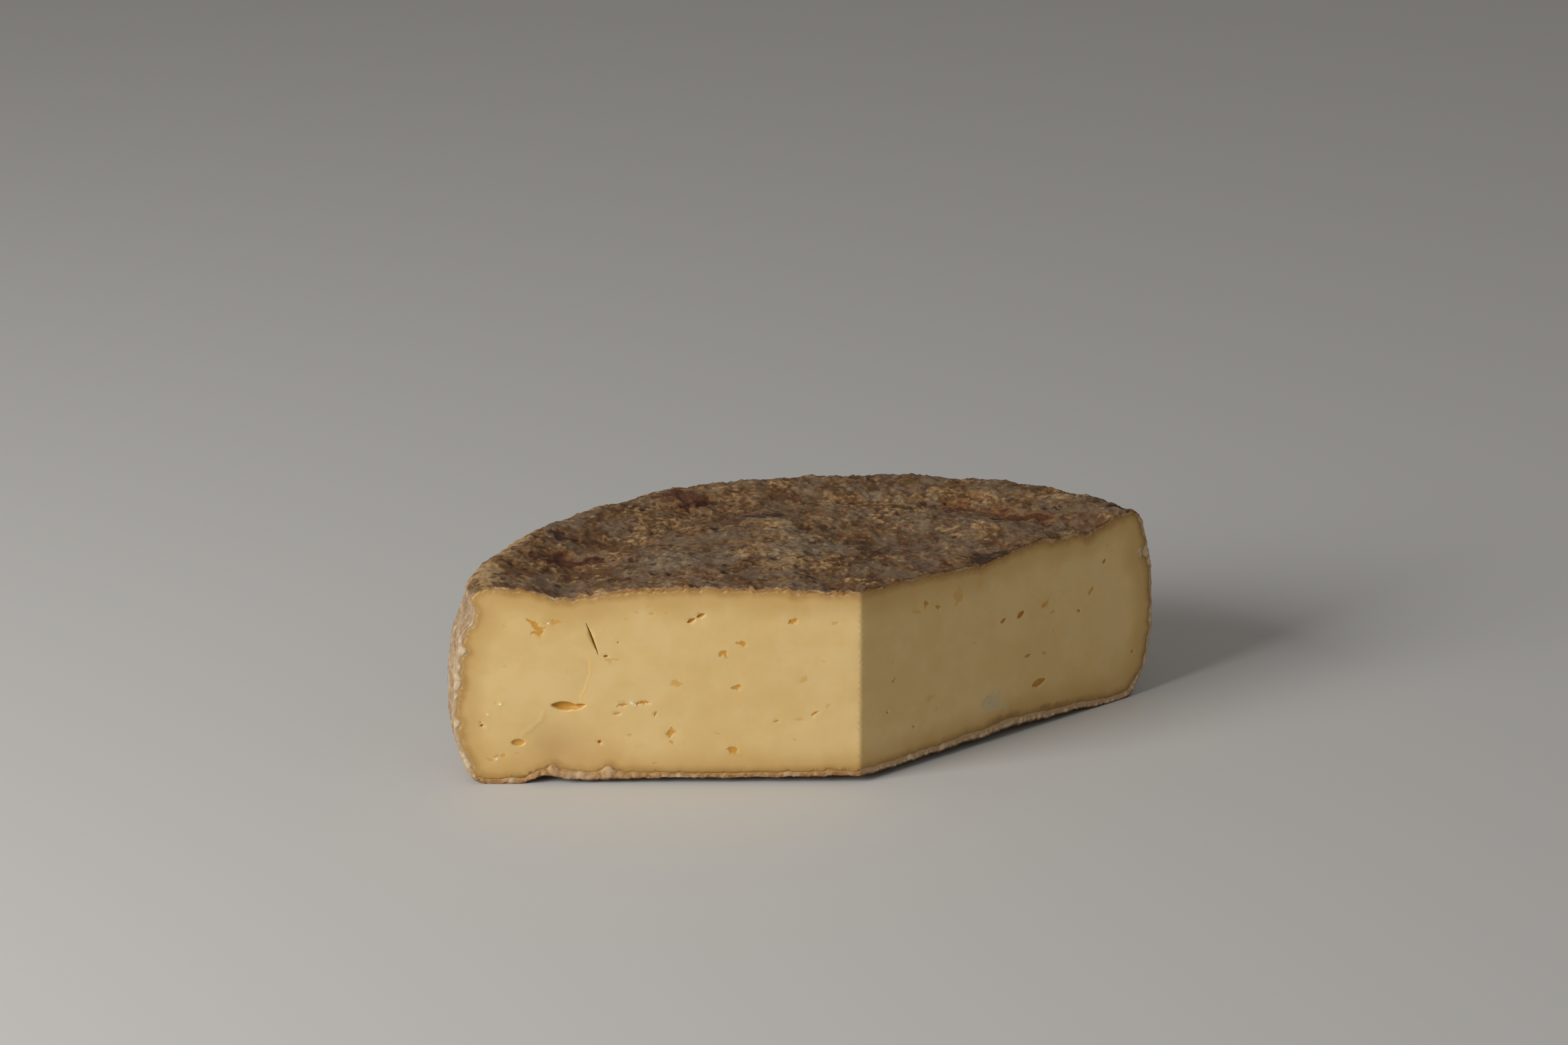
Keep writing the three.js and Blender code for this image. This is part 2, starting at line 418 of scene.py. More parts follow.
def reliefOf(places, outward):
    # height of the crust over the smooth skin, in millimetres, and its parts
    side = 1 - smoothStep(np.abs(outward[:, 2]), 0.35, 0.9)
    under = smoothStep(-outward[:, 2], 0.3, 0.8)
    noises = {name: noiseAt(places, *sizes) for name, sizes in reliefNoises.items()}
    crust = noises["crust"]
    plates = smoothStep(noises["plates"], 0.02, 0.14)
    folds = 1 - np.minimum(np.abs(noises["folds"]) * 4, 1)
    nearest, second = cellsAt(places + 1.2 * crust[:, None], *reliefCells["grains"])
    strength = 0.35 + 0.65 * smoothStep(noises["strength"], -0.3, 0.3)
    grains = (1 - smoothStep(nearest, 0.05, 0.62)) * strength
    cracks = (1 - smoothStep(second - nearest, 0.02, 0.22)) * strength
    holes, _ = cellsAt(places, *reliefCells["pits"])
    pits = 1 - smoothStep(holes, 0.06, 0.17)
    patches = patchMasks(places)
    # powder lies thickest low on the side and thins out over the rim of the top
    lowness = smoothStep(wheel["height"] - places[:, 2], *rind["dustDown"])
    rimward = smoothStep(np.hypot(places[:, 0], places[:, 1]), *rind["dustOut"])
    dust = side * (0.6 + 0.4 * lowness) + 0.3 * rimward * (1 - under)
    calm = 1 - 0.4 * side - 0.45 * under
    height = rind["waves"] * noises["waves"] + calm * (
        rind["crust"] * crust + rind["plates"] * (plates - 0.5) + rind["grains"] * (grains - 0.25)
        + rind["folds"] * (folds - 0.3) - rind["cracks"] * cracks - rind["pits"] * pits
        - rind["sunken"] * np.maximum(patches["russet"], patches["maroon"]))
    for name, along, up, rise, width in knobs:
        middle = inPlane(cuts[name], np.array([along]), np.array([up]))
        height = height + rise * bump(np.linalg.norm(places - middle, axis=1), width)
    height = np.maximum(height, rind["lowest"])
    return height, {
        "grains": grains, "cracks": cracks, "pits": pits, "side": side, "under": under, "dust": dust,
        "height": height, **patches,
    }


cutWays = np.concatenate([
    np.linspace(0, equator, int(equator / rind["edgeGap"])),
    np.linspace(equator, whole, int((whole - equator) / rind["edgeGap"]))[1:],
])


# The rind's cut edge: a crumbly band with round crumbs in it, from the skin to where the paste begins

band = {
    "steps": 8,             # rows of points across it
    "smoothing": 6,         # passes over its thickness
    "foot": (2, 8),         # heights up to which its zones reach, or from which they set in
    "side": (3, 9),
    "cornerUp": (42.5, 44),
    "crumblyUp": (49, 53),
    "sideOut": (98, 102),   # and distances from the axis
    "cornerOut": (92, 100),
    "crumblyOut": (56, 66),
    "evenOut": (1, 6),
    "fine": 2.4,            # sizes of the noise in its thickness
    "wide": 9,
}
# Each cut's own: the stretch of the foot with the most crumbs, as a place, spread and share, how crumbly
# its top is, the heights over which the side's zone ends, and what the zones do to the band
bands = {
    "left": {
        "seed": 11, "noise": 3.7, "lumpy": (73, 8, 1.0), "crumbly": 0.0, "sideEnd": (42, 43.5),
        "sideRough": 0.3, "sideThick": 0.4, "footThick": 0.35, "sideCalm": 0.0,
    },
    "right": {
        "seed": 12, "noise": 9.1, "lumpy": (52, 13, 0.6), "crumbly": 0.4, "sideEnd": (42, 54),
        "sideRough": 0.1, "sideThick": -0.35, "footThick": 0.9, "sideCalm": 0.6,
    },
}
crumb = {
    "clear": 5.0,           # of both ends of the band
    "radius": (0.2, 0.45),
    "depth": (0.3, 0.8),    # under the skin
    "large": 1.7,           # times the radius, for a small share of them
    "largeShare": 0.15,
    "nearest": 1.2,         # steps between crumbs, in radii
    "furthest": 9,
    "closer": 5,            # less than that where it is rough
}


def edgeZones(name, way):
    # how far a place on the band belongs to the foot, to a crumbly stretch and to the side
    b = bands[name]
    r = sectionAt("r", way)
    z = sectionAt("z", way)
    foot = 1 - smoothStep(z, *band["foot"])
    place, spread, share = b["lumpy"]
    lumpy = foot * (share * bump(r - place, spread))
    lumpy = lumpy + b["crumbly"] * smoothStep(r, *band["crumblyOut"]) * smoothStep(z, *band["crumblyUp"])
    side = smoothStep(z, *band["side"]) * (1 - smoothStep(z, *b["sideEnd"]))
    side = side * smoothStep(r, *band["sideOut"])
    return foot, lumpy, side


def crumbsAlong(name):
    # way along the edge, depth under the skin and radius of each crumb
    draw = random.Random(bands[name]["seed"])
    found = []
    way = crumb["clear"]
    while way < whole - crumb["clear"]:
        foot, lumpy, side = [float(zone) for zone in edgeZones(name, way)]
        rough = 0.5 * foot + lumpy + side * bands[name]["sideRough"]
        size = draw.uniform(*crumb["radius"]) * (1 + 0.9 * rough)
        size *= crumb["large"] if draw.random() < crumb["largeShare"] else 1
        found.append((way, draw.uniform(*crumb["depth"]) * (1 + 0.7 * rough), size))
        way += size * draw.uniform(crumb["nearest"], crumb["furthest"] - crumb["closer"] * min(rough, 1))
    for along, up, deep, size in lumps[name]:
        nearest = np.argmin(np.hypot(section["r"] - along, section["z"] - up))
        found.append((section["way"][nearest], deep, size))
    return np.array(found)


def bandShape(name):
    # the band's thickness along the edge, and how far each row of its points stands out of the cut
    b = bands[name]
    seed = b["noise"]
    crumbs = crumbsAlong(name)
    foot, lumpy, side = edgeZones(name, cutWays)
    r = sectionAt("r", cutWays)
    fine = [noise.fractal(Vector((way / band["fine"], seed, 0)), 0.6, 2, 3) for way in cutWays]
    wide = [noise.noise(Vector((way / band["wide"], seed, 4))) for way in cutWays]
    corner = smoothStep(sectionAt("z", cutWays), *band["cornerUp"]) * smoothStep(r, *band["cornerOut"])
    base = 1 - 0.5 * corner + side * b["sideThick"] + foot * b["footThick"] + 1.1 * lumpy
    even = smoothStep(r, *band["evenOut"])
    thick = base + even * (1 - 0.5 * corner) * (0.25 * np.array(fine) + 0.3 * np.array(wide))
    off = cutWays[:, None] - crumbs[:, 0]
    within = np.clip(crumbs[:, 2] ** 2 - off ** 2, 0, None)
    reaches = np.where(within > 0, crumbs[:, 1] + np.sqrt(within) + 0.1, 0).max(axis=1)
    thick = np.maximum(thick, reaches * even) + rind["overlap"]
    for _ in range(band["smoothing"]):
        thick[1:-1] = (thick[:-2] + 2 * thick[1:-1] + thick[2:]) / 4
    stands, domes = [], []
    for step in range(1, band["steps"] + 1):
        depth = (thick - rind["overlap"]) * step / band["steps"]
        gone = np.clip(within - (depth[:, None] - crumbs[:, 1]) ** 2, 0, None)
        dome = np.sqrt(gone).max(axis=1)
        gate = smoothStep(thick - rind["overlap"] - depth, 0, 0.7) * even
        rough = 0.7 + 0.6 * np.array([
            noise.noise(Vector((way / 0.8, deep / 0.5, seed))) for way, deep in zip(cutWays, depth)])
        calm = 1 - b["sideCalm"] * side
        stands.append(gate * calm * (rind["proud"] * rough + (0.12 + 0.14 * foot) * dome))
        domes.append(smoothStep(dome, 0.1, 0.6) * gate)
    return thick, stands, domes


def rindEdge(places, line, name):
    # for each point of a cut's edge: its place along the cut and up, the way out, and the rind's thickness
    slopeR = sectionAt("slopeR", cutWays)
    slopeZ = sectionAt("slopeZ", cutWays)
    size = np.hypot(slopeR, slopeZ)
    thick, stands, domes = bandShape(name)
    return {
        "along": places[line] @ cuts[name]["along"], "up": places[line, 2],
        "outAlong": -slopeZ / size, "outUp": slopeR / size,
        "thick": thick, "stands": stands, "domes": domes,
    }


def rowAt(name, edge, depth, stand):
    # a row of points in the cut, at a depth under the skin and standing out of the face
    row = inPlane(cuts[name], edge["along"] - edge["outAlong"] * depth, edge["up"] - edge["outUp"] * depth)
    return row + np.reshape(stand, (-1, 1)) * cuts[name]["outward"]


hiddenGaps = [(0, rind["hiddenGap"])]


def buildRind():
    underGaps = [(0, rind["underGap"]), (wheel["radius"] - rind["underRing"], rind["gap"])]
    ways, turns, faces, sides, lines = skinMesh(cutWays, [(0, rind["gap"])], underGaps)
    places, outward = skinPlaces(ways, turns)
    height, parts = reliefOf(places, outward)
    outer = places + outward * height[:, None]
    print("rind skin:", len(outer), "points,", len(faces), "triangles")
    for name, cut in cuts.items():
        line = lines[name]
        outer[line] -= (outer[line] @ cut["outward"])[:, None] * cut["outward"]
    outer[:, 2] = np.maximum(outer[:, 2], 0.0)
    edges = {name: rindEdge(outer, lines[name], name) for name in cuts}

    # the side that grows on the paste, which can't be seen
    innerWays, innerTurns, innerFaces, innerSides, innerLines = skinMesh(cutWays, hiddenGaps, hiddenGaps)
    smooth, out = skinPlaces(innerWays, innerTurns)
    inner = smooth - out * rind["hidden"]
    first = len(outer)
    count = first + len(inner)
    allPlaces = [outer, inner]
    allFaces = list(faces) + [(first + a, first + c, first + b) for a, b, c in innerFaces]
    regions = list(sides) + [2 + side for side in innerSides]
    wayOf, turnOf = [ways, innerWays], [turns, innerTurns]
    masks = {key: [values, np.zeros(len(inner))] for key, values in parts.items()}
    masks["band"] = [np.zeros(len(outer)), np.full(len(inner), 1.2)]    # the paste begins at 1
    masks["crumb"] = [np.zeros(len(outer)), np.zeros(len(inner))]
    masks["rightEdge"] = [np.zeros(len(outer)), np.zeros(len(inner))]

    shared = {}
    steps = band["steps"]
    for number, (name, cut) in enumerate(cuts.items()):
        edge = edges[name]
        inner[innerLines[name]] = rowAt(name, edge, edge["thick"], -rind["overlap"])
        rows = [lines[name]]
        for step in range(1, steps + 1):
            depth = (edge["thick"] - rind["overlap"]) * step / steps
            row = rowAt(name, edge, depth, edge["stands"][step - 1])
            kept = slice(1, -1) if step in shared else slice(None)
            fresh = list(range(count, count + len(row[kept])))
            rows.append([shared[step][0], *fresh, shared[step][1]] if step in shared else fresh)
            shared.setdefault(step, (fresh[0], fresh[-1]))
            count += len(fresh)
            allPlaces.append(row[kept])
            wayOf.append(cutWays[kept])
            turnOf.append(np.full(len(fresh), cut["turn"]))
            for key, values in parts.items():
                masks[key].append(values[lines[name]][kept])
            masks["band"].append(np.full(len(fresh), step / steps))
            masks["crumb"].append(edge["domes"][step - 1][kept])
            masks["rightEdge"].append(np.full(len(fresh), float(number)))
        rows.append([first + i for i in innerLines[name]])
        for upper, lower in zip(rows, rows[1:]):
            for i in range(len(upper) - 1):
                quad = list(dict.fromkeys([upper[i], upper[i + 1], lower[i + 1], lower[i]]))
                allFaces.append(tuple(quad if name == "left" else quad[::-1]))
                regions.append(4 + number)
    return {
        "places": np.concatenate(allPlaces), "faces": allFaces, "regions": regions,
        "masks": {key: np.concatenate(values) for key, values in masks.items()},
        "way": np.concatenate(wayOf), "turn": np.concatenate(turnOf), "edges": edges,
    }


def addPiece(name, made, sheets, size, finish):
    # sheets lay each region of faces out flat in the OFBake UV map: places, shift, scale
    mesh = bpy.data.meshes.new(name)
    where = made["places"] * mm + np.array(axisAt)
    mesh.from_pydata(where.tolist(), [], made["faces"])
    for key, values in made["masks"].items():
        layer = mesh.attributes.new(key, "FLOAT", "POINT")
        layer.data.foreach_set("value", np.asarray(values, dtype=np.float32))
    mesh.polygons.foreach_set("use_smooth", [True] * len(mesh.polygons))
    corners = np.zeros(len(mesh.loops), dtype=np.int32)
    mesh.loops.foreach_get("vertex_index", corners)
    region = np.repeat(made["regions"], [len(face) for face in made["faces"]])
    flat = np.zeros((len(corners), 2))
    for number, (places, shift, scale) in sheets.items():
        mine = region == number
        flat[mine] = places[corners[mine]] * scale + shift
    layer = mesh.uv_layers.new(name="OFBake")
    layer.data.foreach_set("uv", (flat / size).astype(np.float32).ravel())
    mesh.materials.append(finish)
    mesh.update()
    piece = bpy.data.objects.new(name, mesh)
    bpy.context.scene.collection.objects.link(piece)
    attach(piece, "root")
    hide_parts(node)
    print(name, len(mesh.vertices), "points,", len(mesh.polygons), "faces")
    return piece


def rindSheets(made):
    over = rolledOut(made["way"], made["turn"])
    under = rolledOut(whole - made["way"], made["turn"])
    strip = np.stack([made["way"], made["masks"]["band"] * 4], 1)       # 4 mm for the cut edge's width
    return {
        0: (over, (equator + 2, 2), 1),
        1: (under, (whole - equator + 2, equator + 5), 1),
        2: (over, (250, 160), 0.03),
        3: (under, (262, 160), 0.03),
        4: (strip, (2, whole + 9), 1),
        5: (strip, (2, whole + 17), 1),
    }


# The paste

# Marks in each cut face: place along the cut and up, length, height, depth, turn up from the way to the
# rim. Pointed ends make an oval a lens, torn ones have a ragged edge, and tint is how brown.

# In eyes and slits the brown of the tint is partly painted shade.
def mark(along, up, long, high, deep, turn=0, pointed=0.3, torn=0.0, tint=1.0, kind="stainAndShade"):
    return {"along": along, "up": up, "long": long, "high": high, "deep": deep, "turn": math.radians(turn),
            "pointed": pointed, "torn": torn, "tint": tint, "kind": kind}


markRows = {
    "left": [
        (70.6, 40.9, 10.2, 0.46, 1.2, 71, 1.0, 0, 1.5),
        (67.1, 36.0, 1.2, 0.7, 0.7, 0, 0.3, 0, 1.4),
        (65.9, 35.1, 5.8, 1.2, 0.12, 3, 0.6, 0.4, 0.45),
        (78.2, 22.0, 7.0, 2.6, 1.8, 4, 0.5),
        (74.9, 21.8, 4.6, 1.5, 1.0, -14, 0.5),
        (90.7, 11.7, 3.6, 2.1, 0.7, 0, 0.1, 0, 0.8),
        (86.0, 45.2, 4.2, 1.9, 0.8, 40, 0.3, 0.45, 1.1),
        (84.6, 43.9, 2.6, 2.0, 0.6, 0, 0.3, 0.4, 0.85),
        (84.9, 42.7, 3.3, 1.5, 0.6, -14, 0.3, 0.45, 0.9),
        (80.1, 45.7, 3.6, 1.3, 0.3, -6, 0.3, 0.6, 0.7),
        (82.6, 45.1, 2.2, 0.8, 0.2, 20, 0.3, 0.6, 0.4),
        (82.1, 45.3, 0.7, 0.5, -0.15, 0, 0, 0.4, 1, "speck"),
        (44.5, 45.9, 2.4, 1.1, 1.0, -27),
        (42.0, 47.3, 2.4, 1.1, 1.0, -22),
        (58.9, 48.2, 1.6, 0.7, 0.2, 0, 0.3, 0.4, 0.5),
        (55.7, 49.7, 0.9, 0.5, 0.2, 0, 0.3, 0.4, 0.5),
        (55.0, 48.0, 1.4, 0.8, 0.25, 0, 0.3, 0.4, 0.6),
        (51.1, 48.2, 1.2, 0.7, 0.2, 0, 0.3, 0.4, 0.5),
        (61.6, 46.6, 0.9, 0.6, 0.15, 0, 0.3, 0.4, 0.4),
        (48.7, 28.4, 3.3, 1.9, 0.2, 0, 0.3, 0.3, 0.6),
        (63.0, 22.3, 3.4, 0.8, 0.9, -7, 0.8, 0.5),
        (57.5, 22.9, 4.2, 0.8, 1.0, -9, 0.8, 0.5),
        (60.3, 22.8, 0.9, 0.6, -0.22, 0, 0, 0.4, 1, "speck"),
        (59.5, 22.3, 0.6, 0.4, -0.18, 0, 0, 0.4, 1, "speck"),
        (64.5, 19.9, 2.0, 0.6, 0.6, -15, 0.8, 0.4),
        (54.2, 19.8, 1.8, 0.6, 0.5, -60, 0.6, 0.3),
        (69.1, 11.7, 1.2, 1.0, 0.9),
        (61.3, 13.8, 1.8, 1.0, 0.12, 0, 0.3, 0.4, 0.4),
        (50.5, 14.4, 3.8, 1.5, 0.8, 98, 0.3, 0.6),
        (49.9, 11.9, 1.6, 1.2, 0.5, 60, 0.3, 0.6, 0.8),
        (100.2, 16.6, 0.9, 0.8, 0.7),
        (100.5, 17.6, 0.4, 0.3, 0.2),
        (95.1, 22.5, 0.9, 0.7, -0.25, 0, 0, 0.4, 1, "speck"),
        (96.4, 23.0, 0.5, 0.5, 0.2, 0, 0.3, 0.2, 0.5),
        (98.5, 19.7, 0.9, 0.5, -0.2, 20, 0, 0.4, 1, "speck"),
        (98.2, 6.8, 2.2, 0.8, 0.4, 35, 0.3, 0.5, 0.6),
        (96.4, 7.8, 1.6, 0.7, 0.4, 0, 0.3, 0.5, 0.6),
        (94.7, 8.0, 1.8, 0.8, 0.4, -30, 0.3, 0.5, 0.6),
        (96.6, 7.1, 1.2, 0.6, -0.1, 10, 0, 0.4, 0.7, "speck"),
        (102.1, 33.0, 1.4, 1.0, 0.1, 0, 0.3, 0.4, 0.3),
        (93.7, 33.3, 1.3, 1.0, 0.1, 0, 0.3, 0.4, 0.25),
        (93.6, 44.5, 1.5, 0.7, 0.12, 30, 0.3, 0.4, 0.35),
        (91.1, 8.7, 1.6, 0.5, 0.15, 0, 0.6, 0.4, 0.4),
        (63.8, 39.9, 0.6, 0.5, 0.3),
        (54.6, 5.8, 1.5, 0.7, 0.3, 0, 0.3, 0.4, 0.7),
        # a soft hollow low in the face, with painted shade over it
        (77.5, 10.5, 32, 19, 0.9, 8, 0, 0.3, 1, "shadedHollow"),
    ],
    "right": [
        (57.7, 34.3, 2.9, 1.7, 1.1, 25, 0.3, 0.1, 1.25),
        (51.2, 34.0, 2.2, 1.2, 0.7, 15, 0.3, 0.1, 1.1),
        (66.4, 35.1, 3.0, 1.5, 0.4, 20, 0.3, 0.4, 0.8),
        (69.7, 32.3, 2.0, 1.0, 0.3, 0, 0.3, 0.3, 0.6),
        (79.6, 30.4, 1.6, 0.7, 0.5, -30, 0.6),
        (84.2, 35.2, 2.8, 1.1, 0.5, 50, 0.4, 0.3),
        (89.0, 42.7, 1.6, 1.3, 0.5, 40),
        (64.9, 12.8, 5.4, 2.1, 1.2, 8, 0.6, 0.1, 1.1),
        (60.6, 21.7, 2.4, 1.1, 0.5, 10, 0.5, 0.1, 0.9),
        (66.7, 21.0, 2.0, 0.8, 0.4, -30, 0.6, 0.2, 0.8),
        (100.9, 13.4, 0.9, 0.8, 0.7),
        (34.5, 44.8, 5.0, 3.2, 0.1, 90, 0, 0.4, 0.55),
        (42.8, 47.0, 4.2, 1.2, 0.1, 80, 0.3, 0.4, 0.5),
        (48.5, 25.9, 1.3, 0.8, 0.1, 0, 0.3, 0.4, 0.3),
        (40.6, 30.0, 1.2, 0.8, 0.1, 0, 0.3, 0.4, 0.35),
        (70.1, 26.8, 2.0, 0.7, 0.15, 75, 0.3, 0.4, 0.35),
        (82.4, 16.7, 1.3, 0.7, 0.1, 0, 0.3, 0.4, 0.3),
        (90.0, 47.3, 1.6, 0.9, 0.1, 0, 0.3, 0.4, 0.35),
        (101.8, 38.8, 1.2, 0.8, 0.1, 0, 0.3, 0.4, 0.35),
        (44.5, 39.3, 1.2, 0.8, 0.1, 0, 0.3, 0.4, 0.3),
        (73.4, 37.4, 1.4, 0.7, 0.1, 0, 0.3, 0.4, 0.25),
        (103.0, 42.3, 3.8, 2.2, -0.25, 82, 0, 0.5, 1, "mould"),
        (46.9, 11.6, 9.0, 6.4, -0.15, 0, 0, 0.6, 1.1, "mould"),
        (51.6, 9.2, 4.0, 2.6, -0.12, -15, 0, 0.6, 0.8, "mould"),
        (46.2, 12.6, 3.6, 2.0, 0.15, 10, 0, 0.8, 0.7, "smudge"),
        (48.4, 10.2, 2.8, 1.8, 0.15, -20, 0, 0.8, 0.6, "smudge"),
        (51.5, 4.2, 16.0, 6.0, 0.08, 3, 0, 0.4, 0.9, "smudge"),
        (68.0, 3.4, 24.0, 4.6, 0.06, 0, 0, 0.4, 0.8, "smudge"),
    ],
}
marks = {name: [mark(*row) for row in rows] for name, rows in markRows.items()}

paste = {
    "gap": 1.1,             # between points of the cut faces
    "clear": 0.22,          # and from them to the rind
    "cell": 0.06,           # a square of this size holds one point at most
    "hidden": 1.4,          # depth of its hidden side under the skin
    "waves": 0.12,          # height of the faint waves that the knife left
    "waveSize": (17, 8),    # along and up
}
crease = {"from": (71.2, 34.6), "to": (73.6, 22.8), "rise": 0.2, "width": 0.5, "runOut": 2.6}
fold = {"from": (83.4, 20.6), "to": (89.6, 12.8), "rise": -0.1, "width": 0.45}
# Finer points about the crease and the fold: from along and up, width, height, gap
finer = [(70.0, 21.5, 5, 15, 0.34), (81.5, 11.5, 9, 10, 0.45)]
markKinds = ("stainAndShade", "speck", "mould", "smudge", "shadedHollow", "crease")

# Further marks by the axis: for each cut how many, how far out and the seed, then their ranges
unseen = {
    "left": (15, 38, 4),
    "right": (10, 28, 5),
    "from": 4,
    "up": (6, 48),
    "long": (0.9, 3.4),
    "high": (0.3, 0.65),    # as a share of that
    "deep": (0.5, 1.1),
    "shallow": (0.1, 0.25), # for this share of them:
    "shallowShare": 0.55,
    "shallowTint": (0.3, 0.5),
    "turn": 35,
}

# Rings of points about a mark, as shares of its outline, and the gap between points
shallowRings = ((1.3, 0.9, 0.5), 0.5)
slitRings = ((1.6, 1.1, 0.9, 0.45), 0.14)
holeRings = ((1.25, 1.06, 0.98, 0.88, 0.66, 0.36), 0.28)


def unseenMarks(name):
    u = unseen
    count, reach, seed = u[name]
    draw = random.Random(seed)
    found = []
    for _ in range(count):
        shallow = draw.random() < u["shallowShare"]
        long = draw.uniform(*u["long"])
        found.append(mark(
            draw.uniform(u["from"], reach), draw.uniform(*u["up"]), long, long * draw.uniform(*u["high"]),
            draw.uniform(*u["shallow" if shallow else "deep"]), draw.uniform(-u["turn"], u["turn"]),
            0.5, 0.4, draw.uniform(*u["shallowTint"]) if shallow else 1.0))
    return found


def sharesOf(spot, points):
    # places as shares of the mark's own half length and half height
    off = points - [spot["along"], spot["up"]]
    cos, sin = math.cos(spot["turn"]), math.sin(spot["turn"])
    u = (off[:, 0] * cos + off[:, 1] * sin) / (spot["long"] / 2)
    v = (off[:, 1] * cos - off[:, 0] * sin) / (spot["high"] / 2)
    return u, v


def ringPoints(spot):
    # rings of points that follow the mark's outline, close together at its rim
    points = [(0.0, 0.0)]
    deepRings = slitRings if spot["pointed"] == 1 else holeRings
    scales, gap = shallowRings if abs(spot["deep"]) < 0.28 else deepRings
    for scale in scales:
        length = math.pi * (spot["long"] + spot["high"]) / 2 * scale
        count = max(8, int(length / gap))
        for step in range(count):
            angle = 2 * math.pi * (step + 0.5 * (scale < 1)) / count
            width = abs(math.sin(angle)) ** spot["pointed"] * math.sin(angle)
            points.append((scale * math.cos(angle), scale * width))
    points = np.array(points) * [spot["long"] / 2, spot["high"] / 2]
    cos, sin = math.cos(spot["turn"]), math.sin(spot["turn"])
    return points @ np.array([[cos, sin], [-sin, cos]]) + [spot["along"], spot["up"]]


def isInside(points, ring):
    inside = np.zeros(len(points), bool)
    for a, b in zip(ring, np.roll(ring, -1, axis=0)):
        crosses = (a[1] > points[:, 1]) != (b[1] > points[:, 1])
        slope = (b[0] - a[0]) / (b[1] - a[1] + 1e-12)
        inside ^= crosses & (points[:, 0] < a[0] + slope * (points[:, 1] - a[1]))
    return inside


def distanceTo(points, line):
    nearest = np.full(len(points), np.inf)
    for a, b in zip(line[:-1], line[1:]):
        share = np.clip(((points - a) @ (b - a)) / max((b - a) @ (b - a), 1e-12), 0, 1)
        nearest = np.minimum(nearest, np.linalg.norm(points - a - share[:, None] * (b - a), axis=1))
    return nearest


def markDepths(points, spots, seed):
    masks = {key: np.zeros(len(points)) for key in markKinds}
    depth = np.zeros(len(points))
    hollowed = np.zeros(len(points))
    reach = 2.4             # in half lengths and half heights
    for number, spot in enumerate(spots):
        u, v = sharesOf(spot, points)
        near = (np.abs(u) < reach) & (np.abs(v) < reach)
        if not near.any():
            continue
        # a torn mark's outline wanders by a share of its height
        grain = 0.9 + 0.3 * spot["high"]
        wander = spot["torn"] * min(spot["high"], 2.6)
        seeds = (seed + number, seed - number - 3)
        shaken = np.array([
            [noise.fractal(Vector((a / grain, b / grain, shift)), 0.8, 2, 2) for shift in seeds]
            for a, b in points[near]]) * wander
        u, v = sharesOf(spot, points[near] + shaken)
        width = np.maximum(1 - u * u, 1e-6) ** ((1 + spot["pointed"]) / 2)
        well = np.clip(1 - (v / width) ** 2, 0, 1) * np.maximum(1 - u * u, 0) ** 0.5
        away = np.hypot(u, v)
        # the soft hollow gets real depth and a mask for the painted shade over it
        if spot["kind"] == "shadedHollow":
            hollowed[near] = spot["deep"] * bump(away, 0.45)
            masks["shadedHollow"][near] = bump(away, 0.42)
            continue
        # stains, eyes and slits have the well's own outline, the others fade out softly
        if spot["kind"] == "stainAndShade":
            share = smoothStep(well, 0, 0.3 + 0.6 * spot["torn"])
        else:
            share = 1 - smoothStep(away, 0.5, 1.2)
        masks[spot["kind"]][near] = np.maximum(masks[spot["kind"]][near], spot["tint"] * share)
        sunk = spot["deep"] * np.sqrt(well) * (0.7 - 0.45 * (spot["torn"] > 0.1) * (spot["deep"] > 0))
        depth[near] = np.where(np.abs(sunk) > np.abs(depth[near]), sunk, depth[near])
    return depth + hollowed, masks


def lineStep(points, line):
    # a step, or a ridge where nothing runs out, along a bent line that fades at both ends
    a = np.array(line["from"])
    b = np.array(line["to"])
    size = np.linalg.norm(b - a)
    way = (b - a) / size
    share = ((points - a) @ way) / size
    off = (points - a) @ np.array([-way[1], way[0]]) + 0.5 * np.sin(share * 5) - 0.15 * np.sin(share * 17)
    fade = smoothStep(share, -0.08, 0.1) * (1 - smoothStep(share, 0.85, 1.08))
    if "runOut" in line:
        shape = np.where(off > 0, np.exp(-off / line["runOut"]), 0) * smoothStep(off, 0, line["width"])
    else:
        shape = bump(off, line["width"])
    return line["rise"] * fade * shape, fade * bump(off - 0.1, 0.32)


def facePoints(name, ring, spots):
    # the points inside one cut face, closer together round its marks
    coarse = gridPoints(wheel["radius"], wheel["height"], paste["gap"])
    fine = []
    for spot in spots:
        if spot["kind"] != "shadedHollow":
            margin = 1.3 + 0.4 / min(spot["long"], spot["high"])
            coarse = coarse[np.hypot(*sharesOf(spot, coarse)) > margin]
            fine.append(ringPoints(spot))
    if name == "left":
        fine += [gridPoints(width, height, gap) + [along, up] for along, up, width, height, gap in finer]
    inside = np.concatenate([coarse] + fine)
    _, apart = np.unique(np.round(inside / paste["cell"]), axis=0, return_index=True)
    inside = inside[np.sort(apart)]
    inside = inside[isInside(inside, ring)]
    return inside[distanceTo(inside, np.vstack([ring, ring[:1]])) > paste["clear"]]


